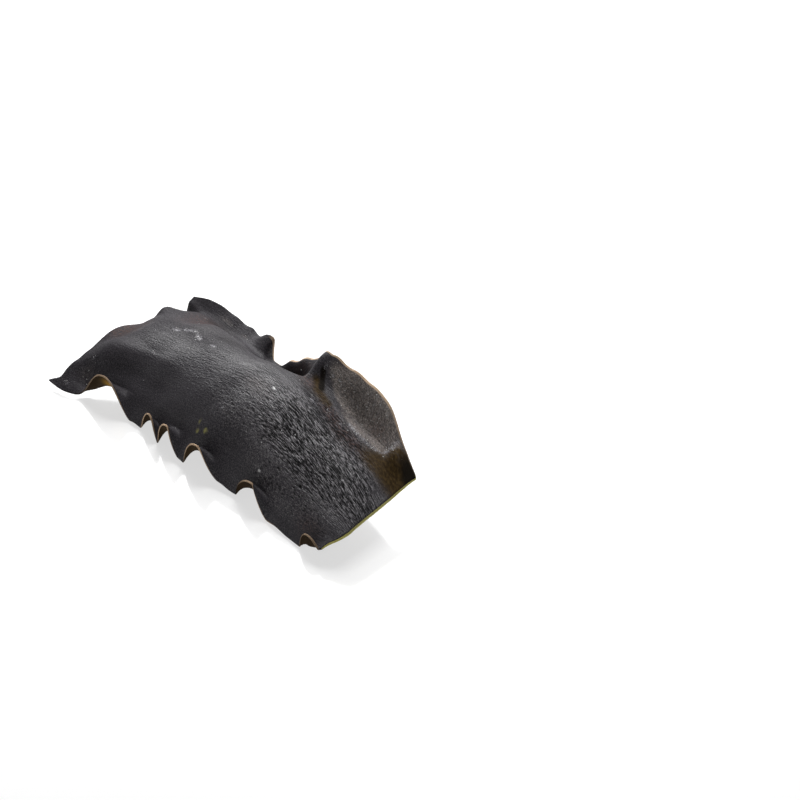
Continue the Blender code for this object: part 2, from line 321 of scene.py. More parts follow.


# %% [markdown]
# The first masks steer relief and shine. Wrinkles are deepest in the middle near the cut, and
# pits lie among and beside them. The sheen is dried slime, thickest along the crest of the band.
# Painted shade darkens the hollows and creases where the blade folds, and a few broader patches.

# %% Masks of wrinkles, pits, sheen and painted shade
wrinkled_from = 24 + 0.15 * np.maximum(flat_x - 130, 0)
wrinkled_to = 64 - 0.45 * np.maximum(flat_x - 148, 0)
sheen_to = 45 + 0.13 * np.clip(flat_x - 75, 0, 80)
masks = {
    "wrinkled": (
        0.09 + 0.12 * spot(72, 42, 34, 18) + 0.20 * spot(100, 42, 18, 18) + 0.25 * spot(150, 24, 24, 12)
        + 0.78 * between(flat_x, 112, 200, 30) * between(flat_y, wrinkled_from, wrinkled_to, 16)
    ),
    "pitted": 0.12 + painted(
        (1.0, 142, 20, 30, 16, 0.5), (0.5, 105, 26, 26, 16), (0.8, 148, 70, 26, 16),
        (0.6, 146, 42, 34, 22),
    ),
    "sheen": (
        0.13 + 0.30 * np.clip(flat_x / 80 - 0.3, 0, 1)
        + 0.58 * between(flat_y, 21, sheen_to, 14) * between(flat_x, 27, 166, 32)
    ),
    # painted shade: the hollows and creases of the folds, and a few broader patches
    "painted_shade": painted(
        (0.35, 66, 55, 30, 9), (0.42, 34, 69, 32, 13), (0.3, 11, 42, 10, 16),
        (0.9, 88, 71, 22, 11, 0.6), (1.0, 173, 78, 10, 9, 0.5),
    ) + stroke(2.8, (112.8, 74), (114.8, 70.6), (117.8, 66.6)),
}

# %% [markdown]
# The next ones are of colour: thin places that let olive through, red brown blotches, a few
# yellow green flecks, an amber patch on the underside of the wide arch, and the rims that are
# bleached tan.

# %% Masks of colour
masks["thin"] = painted(
    (1.0, 168, 67, 15, 13, 0.7), (1.0, 168, 77, 8, 9, 0.7), (0.3, 114, 60, 14, 5),
    (0.8, 157, 61, 13, 9),
) + 0.9 * stroke(4.5, (113.5, 68.5), (118.5, 63.8), (125, 62.5))
masks["reddish"] = painted(
    (0.9, 8, 42, 12, 12), (1.0, 129, 60, 10, 6), (0.9, 141, 58, 14, 7), (0.7, 150, 74, 10, 5),
    (1.0, 90, 75, 18, 8), (0.8, 112, 64, 10, 6), (0.6, 150, 60, 12, 5), (0.4, 160, 12, 10, 10),
    (0.7, 30, 62, 20, 14),
)
masks["fleck"] = painted(
    (1.0, 91.5, 12.2, 2.0, 2.0), (1.0, 96, 13.5, 2.4, 2.2), (0.6, 90.5, 15.5, 1.6, 3.0),
)
masks["amber"] = painted((1.0, 36, 5, 9, 6))
masks["tan"] = painted(
    (1.0, 62, 0, 8, 9), (1.0, 78, 0, 11, 9), (1.0, 101, 0, 12, 9), (0.9, 137, 0, 13, 9),
    (0.6, 34, 0, 20, 9), (0.5, 166, 0, 8, 9), (1.0, 68, 82, 10, 12, 0.5),
    (1.0, 88, 82, 24, 12, 0.5), (1.0, 135, 82, 38, 12, 0.5),
)

# %% [markdown]
# Salt dries on the blade as a film of dust on the right lobe, and as small crusts where the last
# water stood. The crusts are many short spots, and one line that follows the lip of the lobe.

# %% Masks of salt
masks["dusty"] = painted(
    (1.0, 144, 79, 28, 15, 0.5), (0.9, 128, 72, 9, 6), (0.5, 117, 78, 7, 6),
    (0.35, 30, 77, 12, 4), (0.3, 46, 76, 7, 3), (0.8, 140, 66, 16, 4), (0.8, 156, 69, 10, 5),
    (0.8, 124, 76, 10, 8), (0.35, 103, 38, 22, 9), (0.25, 125, 30, 24, 10),
    (0.2, 48, 56, 26, 14), (0.3, 12, 14, 10, 10),
)
masks["crusted"] = painted(
    (0.6, 35.5, 47.7, 5.0, 2.4), (0.9, 40.5, 49.5, 4.0, 1.7), (1.0, 44.5, 51, 4.4, 1.6),
    (1.0, 49, 49.8, 3.2, 2.2), (1.0, 52, 48.6, 3.0, 1.6), (0.9, 63.6, 47, 3.6, 1.5),
    (0.35, 39.4, 31.7, 3.4, 1.3), (0.35, 46, 34, 3.4, 1.3), (0.4, 12.3, 20, 2.6, 1.4),
    (0.6, 7.5, 3.7, 2.6, 1.8), (2.5, 109.3, 41.5, 2.2, 1.0), (2.5, 128, 14.2, 1.3, 1.0),
    (0.6, 97.2, 23.9, 1.8, 0.9), (0.5, 141, 64.3, 6, 2.4), (0.6, 161, 75, 3.5, 5),
    (0.5, 148.5, 64.4, 2.5, 1.4), (0.5, 155, 66.3, 2.5, 1.4), (0.4, 160, 70.5, 2.5, 1.6),
    (0.4, 137, 61, 5, 2), (0.4, 24, 66, 4.0, 1.4), (0.6, 122, 56, 5.0, 1.6),
    (0.5, 112.6, 76.5, 1.2, 3.5), (0.7, 118.2, 75.6, 2.2, 1.3), (0.6, 121.6, 76, 1.6, 1.1),
    (0.5, 129, 60, 3, 1.5),
) + 0.45 * stroke(1.3, (138, 64.6), (149, 64.6), (154, 65.5), (159, 68.6), (161.2, 74), (161.4, 80))
for name, mask in masks.items():
    print(f"{name}: mean {mask.mean():.2f}")

# %% [markdown]
# ## Closing the blade
# The upper face, the underside and the rows of the rim are one list of points. The rim rows
# follow half a circle, so natural rims come out round. The cut was made with a knife, so its
# rows stay flat.

# %% Points of the closed blade
UPPER, UNDERSIDE, NATURAL_RIM, CUT_FACE = range(4)
index = np.arange(flat_x.size).reshape(flat_x.shape)


def thinned(field):
    """A grid field on the lanes of the underside."""
    return field[:, ::COARSER]


under_index = index.size + np.arange(thinned(index).size).reshape(thinned(index).shape)


def border():
    """Border points in order: along the left rim, the cut, the right rim and the far end."""
    left = [(i, 0) for i in range(STATIONS)]
    cut = [(STATIONS, j) for j in range(LANES)]
    right = [(i, LANES) for i in range(STATIONS, 0, -1)]
    far = [(0, j) for j in range(LANES, 0, -1)]
    return np.array(left + cut + right + far)


ring = border()
ring_i, ring_j = ring.T
out_x = unit(np.gradient(middle, axis=0))[ring_i, ring_j]
out_y = unit(np.gradient(middle, axis=1))[ring_i, ring_j]
outwards = (
    -out_x * (ring_i == 0)[:, None] - out_y * (ring_j == 0)[:, None] + out_y * (ring_j == LANES)[:, None]
)
outwards[ring_i == STATIONS] = 0
ring_half = half[ring_i, ring_j][:, None]
ring_normal = normal[ring_i, ring_j]
ring_middle = middle[ring_i, ring_j]

rim_depths = np.arange(1, RIM_ROWS + 1) / (RIM_ROWS + 1)
rim_rows = [
    ring_middle + ring_half * (np.cos(np.pi * d) * ring_normal + np.sin(np.pi * d) * outwards)
    for d in rim_depths
]
on_cut = ring_i == STATIONS
for depth, row in zip(rim_depths, rim_rows):
    row[on_cut] = (ring_middle + (1 - 2 * depth) * ring_half * ring_normal)[on_cut]

points = np.concatenate([
    (middle + half[..., None] * normal).reshape(-1, 3),
    thinned(middle - half[..., None] * normal).reshape(-1, 3),
    *rim_rows,
])
low, high = points.min(axis=0), points.max(axis=0)
foot = np.array([(low[0] + high[0]) / 2, (low[1] + high[1]) / 2, low[2]])
points = (points - foot) * MM
print("foot of the drawing, mm:", foot.round(2))

# %% [markdown]
# The last row of the rim meets the coarser underside: along the cut and the far end, one cell of
# the underside takes four points of the rim.

# %% Faces, each with the surface it belongs to
def cells(grid, flip):
    corners = [grid[:-1, :-1], grid[1:, :-1], grid[1:, 1:], grid[:-1, 1:]]
    return np.stack([c.ravel() for c in (corners[::-1] if flip else corners)], axis=1).tolist()


upper, underside = cells(index, False), cells(under_index, True)
rows = [index[ring_i, ring_j]]
rows += [index.size + under_index.size + k * len(ring) + np.arange(len(ring)) for k in range(RIM_ROWS)]
kinds = np.where(on_cut, CUT_FACE, NATURAL_RIM)
rim_faces, rim_kinds = [], []
for above, below in zip(rows, rows[1:]):
    rim_faces += np.stack([above, below, np.roll(below, -1), np.roll(above, -1)], axis=1).tolist()
    rim_kinds += kinds.tolist()

last = rows[-1]
kept = [k for k in range(len(ring)) if ring_j[k] % COARSER == 0]
for start, end in zip(kept, kept[1:] + [len(ring)]):
    run = [int(last[k % len(ring)]) for k in range(start, end + 1)]
    ends = [int(under_index[ring_i[k % len(ring)], ring_j[k % len(ring)] // COARSER]) for k in (start, end)]
    rim_faces.append([run[0], *ends, *run[:0:-1]])
    rim_kinds.append(int(kinds[start]))

faces = upper + underside + rim_faces
surface = np.array([UPPER] * len(upper) + [UNDERSIDE] * len(underside) + rim_kinds)
print(len(points), "points,", len(faces), "faces,", sum(len(f) - 2 for f in faces), "triangles")

# %% [markdown]
# ## Materials, first their names
# The blade has four surfaces: the dark upper face, the browner underside, the natural rim and
# the pale cut. Salt is the fifth material. The mesh needs the materials before they are filled
# in, so they are named here.

# %% Empty materials
def empty_material(name):
    material = bpy.data.materials.new(name)
    material.use_nodes = True
    return material


upper_finish = empty_material("kelp_upper_face")
under_finish = empty_material("kelp_underside")
rim_finish = empty_material("kelp_rim")
cut_finish = empty_material("kelp_cut")
salt_finish = empty_material("kelp_salt")
print("materials:", [material.name for material in bpy.data.materials])

# %% [markdown]
# The mesh carries its marks as attributes. Geometry Nodes and materials read them by name.

# %% The mesh with its attributes
def on_every_point(field):
    """A grid field repeated for both faces and the rim rows."""
    field = field.reshape(*flat_x.shape, -1)
    parts = [field, thinned(field), *[field[ring_i, ring_j]] * RIM_ROWS]
    return np.concatenate([part.reshape(-1, field.shape[-1]) for part in parts])


def store(mesh, name, kind, domain, values):
    field = {"FLOAT": "value", "INT": "value", "FLOAT_VECTOR": "vector"}[kind]
    attribute = mesh.attributes.new(name, kind, domain)
    attribute.data.foreach_set(field, np.ascontiguousarray(values).ravel())


def blade_mesh():
    mesh = bpy.data.meshes.new("kelp_blade")
    mesh.from_pydata(points.tolist(), [], faces)
    depth = np.repeat([0.0, 1.0, *rim_depths], [index.size, under_index.size, *[len(ring)] * RIM_ROWS])
    flat = on_every_point(np.stack([flat_x, flat_y], axis=-1))
    store(mesh, "flat", "FLOAT_VECTOR", "POINT", np.column_stack([flat, depth]) * (MM, MM, 1.0))
    store(mesh, "skin_normal", "FLOAT_VECTOR", "POINT", on_every_point(normal))
    store(mesh, "surface", "INT", "FACE", surface)
    for name, mask in masks.items():
        store(mesh, name, "FLOAT", "POINT", on_every_point(mask))
    for material in (upper_finish, under_finish, rim_finish, cut_finish):
        mesh.materials.append(material)
    mesh.shade_smooth()
    return mesh


def new_object(name, data):
    """Make an object and link it into the scene."""
    made = bpy.data.objects.new(name, data)
    bpy.context.collection.objects.link(made)
    return made


blade = new_object("kelp_blade", blade_mesh())
print("marks:", sorted(blade.data.attributes.keys()))

# %% [markdown]
# ## Node helpers
# Every tree below is written with the same few helpers: they add a node with its inputs filled
# or linked, write one step of arithmetic, and open a group with named sockets. A socket knows its
# own tree, so the arithmetic needn't be told.

# %% Helpers for node trees
def fill(tree, node, inputs):
    for name, value in inputs.items():
        socket = node.inputs[name]
        if isinstance(value, bpy.types.NodeSocket):
            tree.links.new(value, socket)
        else:
            socket.default_value = value


def add(tree, kind, inputs=None, **settings):
    """Add a node, set its properties, then fill or link its inputs."""
    node = tree.nodes.new(kind)
    node.location = (len(tree.nodes) % 8 * 200, -(len(tree.nodes) // 8) * 260)
    for name, value in settings.items():
        setattr(node, name, value)
    fill(tree, node, inputs or {})
    return node


def maths(operation, *values, clamp=False):
    """One Math node, its inputs filled in order, in the tree that its first socket is in."""
    tree = next(value.id_data for value in values if isinstance(value, bpy.types.NodeSocket))
    node = add(tree, "ShaderNodeMath", dict(enumerate(values)), operation=operation, use_clamp=clamp)
    return node.outputs[0]


def times(product, *others):
    """Multiply values and sockets, one after another."""
    for other in others:
        product = maths("MULTIPLY", product, other)
    return product


def ramp(value, low, high, to_low=0.0, to_high=1.0):
    """Smooth step of a value from one range to another."""
    return add(value.id_data, "ShaderNodeMapRange", {
        "Value": value, "From Min": low, "From Max": high, "To Min": to_low, "To Max": to_high,
    }, interpolation_type="SMOOTHSTEP").outputs["Result"]


def vector(x, y, z=0.0):
    return add(x.id_data, "ShaderNodeCombineXYZ", {"X": x, "Y": y, "Z": z}).outputs["Vector"]


def in_steps(x, step_x, y, step_y, z=0.0):
    """A place counted in steps, so that a pattern read there is as large as the steps."""
    return vector(maths("DIVIDE", x, step_x), maths("DIVIDE", y, step_y), z)


def split(place):
    return add(place.id_data, "ShaderNodeSeparateXYZ", {"Vector": place}).outputs


def open_group(name, kind, inputs, outputs):
    """A node group. A socket is given as the name of its kind or, for a number, by its default."""
    tree = bpy.data.node_groups.new(name, kind)
    for socket, value in inputs.items():
        plain = {float: "Float", int: "Int"}.get(type(value), value)
        made = tree.interface.new_socket(socket, in_out="INPUT", socket_type="NodeSocket" + plain)
        if plain != value:
            made.default_value = value
    for socket, plain in outputs.items():
        tree.interface.new_socket(socket, in_out="OUTPUT", socket_type="NodeSocket" + plain)
    return tree, add(tree, "NodeGroupInput").outputs, add(tree, "NodeGroupOutput")


def marked(tree, name, kind="FLOAT"):
    """A named attribute, read in Geometry Nodes."""
    return add(tree, "GeometryNodeInputNamedAttribute", {"Name": name}, data_type=kind).outputs["Attribute"]


def on_surface(tree, number):
    """Whether a face belongs to one of the blade's surfaces."""
    return add(tree, "FunctionNodeCompare", {
        2: marked(tree, "surface", "INT"), 3: number,
    }, data_type="INT", operation="EQUAL").outputs["Result"]


# %% [markdown]
# ## Wrinkles and pits as relief
# Drying pulls the skin into fine ridges along the blade. Stretched noise makes them: it is
# sampled on the flat blade, squeezed across and drawn out along, and folded at its middle value
# so that it has sharp valleys. Away from the cut the ridges turn a little towards the right rim,
# so their lines are bent before the noise is read. Pits are scattered cells, some of them pressed
# in. They could be left to the shading, but up close a ridge needs a real side to catch the light.

# %% Ridges and pits as numbers over the blade
def ridge_lines(tree, enter, place):
    """Folded noise, 0 in the valleys and 1 on the ridges."""
    from_straight = maths("SUBTRACT", enter["Straight From"], place["X"])
    bend = times(from_straight, from_straight, enter["Ridge Bend"])
    bent = maths("ADD", place["Y"], bend)
    noise = add(tree, "ShaderNodeTexNoise", {
        "Vector": in_steps(place["X"], enter["Ridge Length"], bent, enter["Ridge Pitch"]),
        "W": enter["Seed"], "Scale": 1.0, "Detail": 1.5, "Roughness": 0.5, "Distortion": 0.8,
    }, noise_dimensions="4D").outputs[0]
    folded = maths("ABSOLUTE", maths("SUBTRACT", noise, 0.5))
    return ramp(folded, 0.0, 0.11)


def pits(tree, enter, place):
    """1 in the middle of the few cells that are pressed in, 0 elsewhere."""
    size = enter["Pit Size"]
    steps = in_steps(place["X"], times(size, 1.7), place["Y"], size, enter["Seed"])
    cell = add(tree, "ShaderNodeTexVoronoi", {"Vector": steps, "Scale": 1.0, "Randomness": 1.0}).outputs
    pressed = ramp(split(cell["Color"])["X"], 0.25, 1.0, 0.0, 0.55)
    return ramp(cell["Distance"], pressed, 0.0)


def leather(tree, enter, place):
    """Slow unevenness of the whole blade, up and down around 0."""
    pitch = enter["Leather Pitch"]
    noise = add(tree, "ShaderNodeTexNoise", {
        "Vector": in_steps(place["X"], times(pitch, 2.0), place["Y"], pitch),
        "W": enter["Seed"], "Scale": 0.7, "Detail": 2.0,
    }, noise_dimensions="4D").outputs[0]
    return maths("SUBTRACT", noise, 0.5)


# %% [markdown]
# The tree pushes every point along its normal. The slow leather moves both faces together, and
# valleys and pits are deep on the upper face and faint on the underside. How deep a point is sunk
# is stored, because the upper face paints shade into such places. The same tree hands each
# surface its material.

# %% Geometry Nodes tree of the relief
def relief_tree():
    tree, enter, leave = open_group("kelp_relief", "GeometryNodeTree", {
        "Geometry": "Geometry",
        "Ridge Pitch": 0.60 * MM, "Ridge Length": 4.4 * MM, "Ridge Height": 0.38 * MM,
        "Straight From": 160.0 * MM, "Ridge Bend": 3.1,
        "Leather Pitch": 6.0 * MM, "Leather Height": 0.45 * MM,
        "Pit Size": 1.35 * MM, "Pit Depth": 0.50 * MM,
        "Seed": 3.0,
        "Upper": "Material", "Underside": "Material", "Rim": "Material", "Cut": "Material",
    }, {"Geometry": "Geometry"})
    place = split(marked(tree, "flat", "FLOAT_VECTOR"))
    on_top = ramp(place["Z"], 0.0, 1.0, 1.0, 0.15)
    valley = maths("SUBTRACT", 1.0, ridge_lines(tree, enter, place))
    valley = times(valley, times(marked(tree, "wrinkled"), on_top))
    pit = times(pits(tree, enter, place), times(marked(tree, "pitted"), on_top))
    up = times(leather(tree, enter, place), enter["Leather Height"])
    up = maths("SUBTRACT", up, times(valley, enter["Ridge Height"]))
    up = maths("SUBTRACT", up, times(pit, enter["Pit Depth"]))

    shaped = add(tree, "GeometryNodeStoreNamedAttribute", {
        "Geometry": enter["Geometry"], "Name": "sunk", "Value": maths("MAXIMUM", valley, pit),
    }, data_type="FLOAT", domain="POINT").outputs["Geometry"]
    push = add(tree, "ShaderNodeVectorMath", {
        0: marked(tree, "skin_normal", "FLOAT_VECTOR"), "Scale": up,
    }, operation="SCALE").outputs["Vector"]
    shaped = add(tree, "GeometryNodeSetPosition", {"Geometry": shaped, "Offset": push}).outputs["Geometry"]
    shaped = add(tree, "GeometryNodeRealizeInstances", {"Geometry": shaped}).outputs["Geometry"]
    for number, name in ((UPPER, "Upper"), (UNDERSIDE, "Underside"), (NATURAL_RIM, "Rim"), (CUT_FACE, "Cut")):
        shaped = add(tree, "GeometryNodeSetMaterial", {
            "Geometry": shaped, "Selection": on_surface(tree, number), "Material": enter[name],
        }).outputs["Geometry"]
    fill(tree, leave, {"Geometry": shaped})
    return tree


# %% Running a tree and keeping its mesh
def run_tree(piece, tree, values):
    """Put the tree on a piece, fill its inputs by identifier, and return the result as a mesh."""
    modifier = piece.modifiers.new(tree.name, "NODES")
    modifier.node_group = tree
    for item in tree.interface.items_tree:
        if item.in_out == "INPUT" and item.name in values:
            modifier[item.identifier] = values[item.name]
    worked_out = piece.evaluated_get(bpy.context.evaluated_depsgraph_get())
    result = bpy.data.meshes.new_from_object(worked_out)
    piece.modifiers.remove(modifier)
    return result


blade.data = run_tree(blade, relief_tree(), {
    "Upper": upper_finish, "Underside": under_finish, "Rim": rim_finish, "Cut": cut_finish,
})
print("blade:", len(blade.data.polygons), "faces,", [m.name for m in blade.data.materials])

# %% [markdown]
# ## Dry salt
# As kelp dries, its own salt and sugar come out as fine white grains. They could be painted on,
# but they stand out of the skin and catch the light, so they are real grains here: points
# scattered over the upper face, more where it is dusty or crusted, each a small flattened pebble
# of 20 triangles.

# %% Geometry Nodes tree of the grains
PEBBLE_FACES = 20


def grains_tree():
    tree, enter, leave = open_group("kelp_salt_grains", "GeometryNodeTree", {
        "Geometry": "Geometry", "Grains per Square Metre": 600000.0,
        "Smallest": 0.07 * MM, "Largest": 0.36 * MM, "Flatness": 0.45,
        "Seed": 11, "Salt": "Material",
    }, {"Geometry": "Geometry"})
    dust = maths("POWER", maths("ADD", marked(tree, "dusty"), 0.05), 1.6)
    thick = maths("ADD", dust, times(marked(tree, "crusted"), 6.0))
    scattered = add(tree, "GeometryNodeDistributePointsOnFaces", {
        "Mesh": enter["Geometry"], "Selection": on_surface(tree, UPPER), "Seed": enter["Seed"],
        "Density": times(thick, enter["Grains per Square Metre"]),
    }).outputs
    pebble = add(tree, "GeometryNodeMeshIcoSphere", {"Radius": 1.0, "Subdivisions": 1}).outputs["Mesh"]
    draw = add(tree, "FunctionNodeRandomValue", {2: 0.0, 3: 1.0, "Seed": enter["Seed"]}, data_type="FLOAT")
    size = add(tree, "ShaderNodeMapRange", {
        "Value": maths("POWER", draw.outputs[1], 5.0),
        "To Min": enter["Smallest"], "To Max": enter["Largest"],
    }).outputs["Result"]
    grains = add(tree, "GeometryNodeInstanceOnPoints", {
        "Points": scattered["Points"], "Instance": pebble, "Rotation": scattered["Rotation"],
        "Scale": vector(size, times(size, 0.7), times(size, enter["Flatness"])),
    }).outputs["Instances"]
    grains = add(tree, "GeometryNodeRealizeInstances", {"Geometry": grains}).outputs["Geometry"]
    grains = add(tree, "GeometryNodeSetMaterial", {"Geometry": grains, "Material": enter["Salt"]})
    fill(tree, leave, {"Geometry": grains.outputs["Geometry"]})
    return tree


grains = new_object("kelp_salt", blade.data)
grains.data = run_tree(grains, grains_tree(), {"Salt": salt_finish})
print("salt:", len(grains.data.polygons) // PEBBLE_FACES, "grains")

# %% [markdown]
# ## Shared effects
# Two effects are used by more than one finish, so each is a node group, built once: the fine
# grain of the dried skin, and blotches that break up a colour. Both are read on the flat blade,
# so they follow the skin round every frill.

# %% Fine grain
def grain_group():
    """Height of fine creases and pores, in parts of one."""
    tree, enter, leave = open_group("kelp_fine_grain", "ShaderNodeTree", {
        "Flat": "Vector", "Crease Pitch": 0.7, "Crease Length": 2.4, "Pore Size": 0.9, "Pores": 0.0,
    }, {"Height": "Float", "Pore Mask": "Float"})
    place = split(enter["Flat"])
    length, pitch = times(enter["Crease Length"], MM), times(enter["Crease Pitch"], MM)
    steps = in_steps(place["X"], length, place["Y"], pitch, times(place["Z"], 7.0))
    creases = add(tree, "ShaderNodeTexNoise", {
        "Vector": steps, "Scale": 0.5, "Detail": 3.0, "Roughness": 0.6, "Distortion": 0.6,
    }).outputs[0]
    length, width = times(enter["Pore Size"], 1.6 * MM), times(enter["Pore Size"], MM)
    steps = in_steps(place["X"], length, place["Y"], width, times(place["Z"], 5.0))
    cell = add(tree, "ShaderNodeTexVoronoi", {"Vector": steps, "Scale": 0.8, "Randomness": 1.0}).outputs
    pores = times(ramp(cell["Distance"], 0.38, 0.12), enter["Pores"])
    fill(tree, leave, {
        "Height": maths("SUBTRACT", creases, times(pores, 0.6)), "Pore Mask": pores,
    })
    return tree


fine_grain = grain_group()
print(fine_grain.name, len(fine_grain.nodes), "nodes")


# %% Blotches
def blotch_group():
    """A soft irregular mask of a given size in millimetres."""
    tree, enter, leave = open_group("kelp_blotches", "ShaderNodeTree", {
        "Flat": "Vector", "Size": 10.0, "Edge Low": 0.45, "Edge High": 0.62, "Seed": 0.0,
    }, {"Mask": "Float"})
    scaled = add(tree, "ShaderNodeVectorMath", {
        0: enter["Flat"], "Scale": maths("DIVIDE", 1.0 / MM, enter["Size"]),
    }, operation="SCALE").outputs["Vector"]
    noise = add(tree, "ShaderNodeTexNoise", {
        "Vector": scaled, "W": enter["Seed"], "Scale": 1.0, "Detail": 5.0, "Roughness": 0.6,
    }, noise_dimensions="4D").outputs[0]
    fill(tree, leave, {"Mask": ramp(noise, enter["Edge Low"], enter["Edge High"])})
    return tree


blotches = blotch_group()
print(blotches.name, len(blotches.nodes), "nodes")

# %% [markdown]
# A material reads the marks of the mesh by name, places the shared groups with its own values,
# and lays one colour over another. These helpers do that, and lead the result into the shader,
# which stays in the material itself.

# %% Helpers for materials
def mark(tree, name, output="Fac"):
    """A named attribute, read in a material."""
    node = add(tree, "ShaderNodeAttribute", attribute_name=name, attribute_type="GEOMETRY")
    return node.outputs[output]


def place_group(tree, group, inputs):
    """Put a shader group into a material, with its inputs filled or linked."""
    return add(tree, "ShaderNodeGroup", inputs, node_tree=group).outputs


def blotched(place, size, low, high, seed):
    return place_group(place.id_data, blotches, {
        "Flat": place, "Size": size, "Edge Low": low, "Edge High": high, "Seed": seed,
    })["Mask"]


def colour(red, green, blue):
    return (red, green, blue, 1.0)


def mix(factor, first, second):
    """The second colour laid over the first."""
    tree = factor.id_data
    return add(tree, "ShaderNodeMix", {0: factor, 6: first, 7: second}, data_type="RGBA").outputs[2]


def finish_with(material, height, bump_height, inputs):
    """Lead a height and the other inputs into the material's own shader."""
    tree = material.node_tree
    bump = add(tree, "ShaderNodeBump", {"Height": height, "Strength": 1.0, "Distance": bump_height})
    bumped = bump.outputs["Normal"]
    fill(tree, tree.nodes["Principled BSDF"], {"Normal": bumped, "Coat Normal": bumped, **inputs})
    print(material.name, len(tree.nodes), "nodes")


# %% [markdown]
# ## The dark upper face
# Dried kelp looks black but is a very dark brown grey. One flat colour would look like plastic,
# so the colours lie over each other as they do on the leaf. First comes the skin: two dark
# greys in clouds, paler specks, worn places where pits are, and black pores. The right lobe is
# paler and mottled, blotches are red brown, and thin places let olive through.

# %% Colours of the skin
CLOUD_DARK, CLOUD_PALE = colour(0.019, 0.017, 0.021), colour(0.029, 0.026, 0.031)
SPECK, WORN = colour(0.070, 0.064, 0.072), colour(0.31, 0.29, 0.295)
PORE = colour(0.005, 0.004, 0.004)
PALE_LOBE = colour(0.46, 0.40, 0.36)
RED_BROWN = colour(0.105, 0.058, 0.048)
OLIVE_DARK, OLIVE_PALE = colour(0.030, 0.017, 0.005), colour(0.072, 0.044, 0.014)


def lay_skin(tree, flat, fine, speck, pores, lobe, thin):
    cloud = blotched(flat, 16.0, 0.35, 0.7, 1.0)
    base = mix(cloud, CLOUD_DARK, CLOUD_PALE)
    base = mix(times(speck, 0.8), base, SPECK)
    worn = ramp(mark(tree, "pitted"), 0.1, 0.8, 0.1, 0.7)
    base = mix(times(worn, speck, fine), base, WORN)
    base = mix(pores, base, PORE)
    mottled = times(ramp(speck, 0.0, 1.0, 0.35, 1.0), ramp(fine, 0.0, 1.0, 0.55, 1.1))
    base = mix(times(lobe, mottled), base, PALE_LOBE)
    red = maths("MULTIPLY", mark(tree, "reddish"), fine, clamp=True)
    base = mix(red, base, RED_BROWN)
    return mix(thin, base, mix(fine, OLIVE_DARK, OLIVE_PALE))


# %% [markdown]
# Painted light and shade come next. The crests of the ridges get a painted highlight, strongest
# where the sheen is, and painted shade darkens the valleys, the pits and the slots between folds.

# %% Painted highlight on crests, painted shade in valleys and slots
# a painted highlight for the crests of the ridges
CREST_HIGHLIGHT = colour(0.245, 0.230, 0.245)
# painted shade, for the valleys and pits and for the slots between folds
VALLEY_SHADE, SLOT_SHADE = colour(0.004, 0.004, 0.004), colour(0.006, 0.004, 0.002)


def paint_ridge_highlight_and_shade(tree, base, sunk, speck):
    on_ridges = ramp(mark(tree, "wrinkled"), 0.12, 0.7, 0.0, 0.9)
    crest = times(ramp(sunk, 0.35, 0.0), on_ridges)
    crest = times(crest, ramp(speck, 0.0, 1.0, 0.45, 1.0))
    crest = times(crest, ramp(mark(tree, "sheen"), 0.4, 1.0, 0.35, 1.0))
    # painted highlight on the crests, then painted shade in valleys, pits and slots
    base = mix(crest, base, CREST_HIGHLIGHT)
    base = mix(ramp(sunk, 0.2, 0.8, 0.0, 0.95), base, VALLEY_SHADE)
    return mix(ramp(mark(tree, "painted_shade"), 0.1, 0.8, 0.0, 0.95), base, SLOT_SHADE)


# %% [markdown]
# On top of all lie the salt crusts, white where they are thickest, the yellow green flecks and,
# along the right rim, a hair line of bleached skin.

# %% Crusts, flecks and bleached rim
CRUST, WHITE_SALT = colour(0.38, 0.37, 0.40), colour(0.85, 0.85, 0.85)
FLECK = colour(0.26, 0.24, 0.09)
BLEACHED = colour(0.78, 0.58, 0.40)
BLEACHED_FROM, BLEACHED_TO = 81.0 * MM, 81.3 * MM      # across the flat blade
NARROWER_FROM, NARROWER_TO = 104.0 * MM, 112.0 * MM    # along it, the line gets thinner here
NARROWER_BY = 0.4 * MM


def lay_salt_and_rim(tree, base, flat, speck, film_noise):
    crust = times(blotched(flat, 2.0, 0.40, 0.60, 9.0), ramp(speck, 0.0, 1.0, 0.25, 1.0))
    crust = times(crust, ramp(mark(tree, "crusted"), 0.12, 0.6))
    base = mix(crust, base, CRUST)
    base = mix(ramp(mark(tree, "crusted"), 0.90, 0.99), base, WHITE_SALT)
    fleck = ramp(mark(tree, "fleck"), 0.15, 0.8)
    base = mix(times(fleck, ramp(film_noise, 0.0, 0.5, 0.3, 1.0)), base, FLECK)
    place = split(flat)
    narrower = ramp(place["X"], NARROWER_FROM, NARROWER_TO, 0.0, NARROWER_BY)
    near_rim = ramp(maths("SUBTRACT", place["Y"], narrower), BLEACHED_FROM, BLEACHED_TO)
    return mix(times(near_rim, mark(tree, "tan")), base, BLEACHED)


# %% [markdown]
# The dried slime is a thin clear film, so it is a coat over the skin and not a change of its
# colour. It lies in streaks along the blade, and is missing in valleys and slots and wherever the
# skin is dull with salt, red blotches or olive.

# %% The film of dried slime
def slime_film(tree, flat, sunk, speck, dull_places):
    film = times(ramp(sunk, 0.1, 0.8, 1.0, 0.0), ramp(speck, 0.0, 1.0, 0.55, 1.3))
    film = times(film, mark(tree, "sheen"))
    place = split(flat)
    drawn_out = vector(times(place["X"], 0.12), place["Y"])
    streaks = blotched(drawn_out, 4.0, 0.36, 0.66, 15.0)
    film = times(film, ramp(streaks, 0.0, 1.0, 0.65, 1.15))
    film = times(film, ramp(mark(tree, "painted_shade"), 0.1, 0.8, 1.0, 0.0))
    dull = times(mark(tree, "reddish"), 0.8)
    for one in dull_places:
        dull = maths("ADD", dull, one)
    return times(film, maths("SUBTRACT", 1.0, dull, clamp=True))


# %% Upper face
SALT_FILM = colour(0.26, 0.25, 0.25)


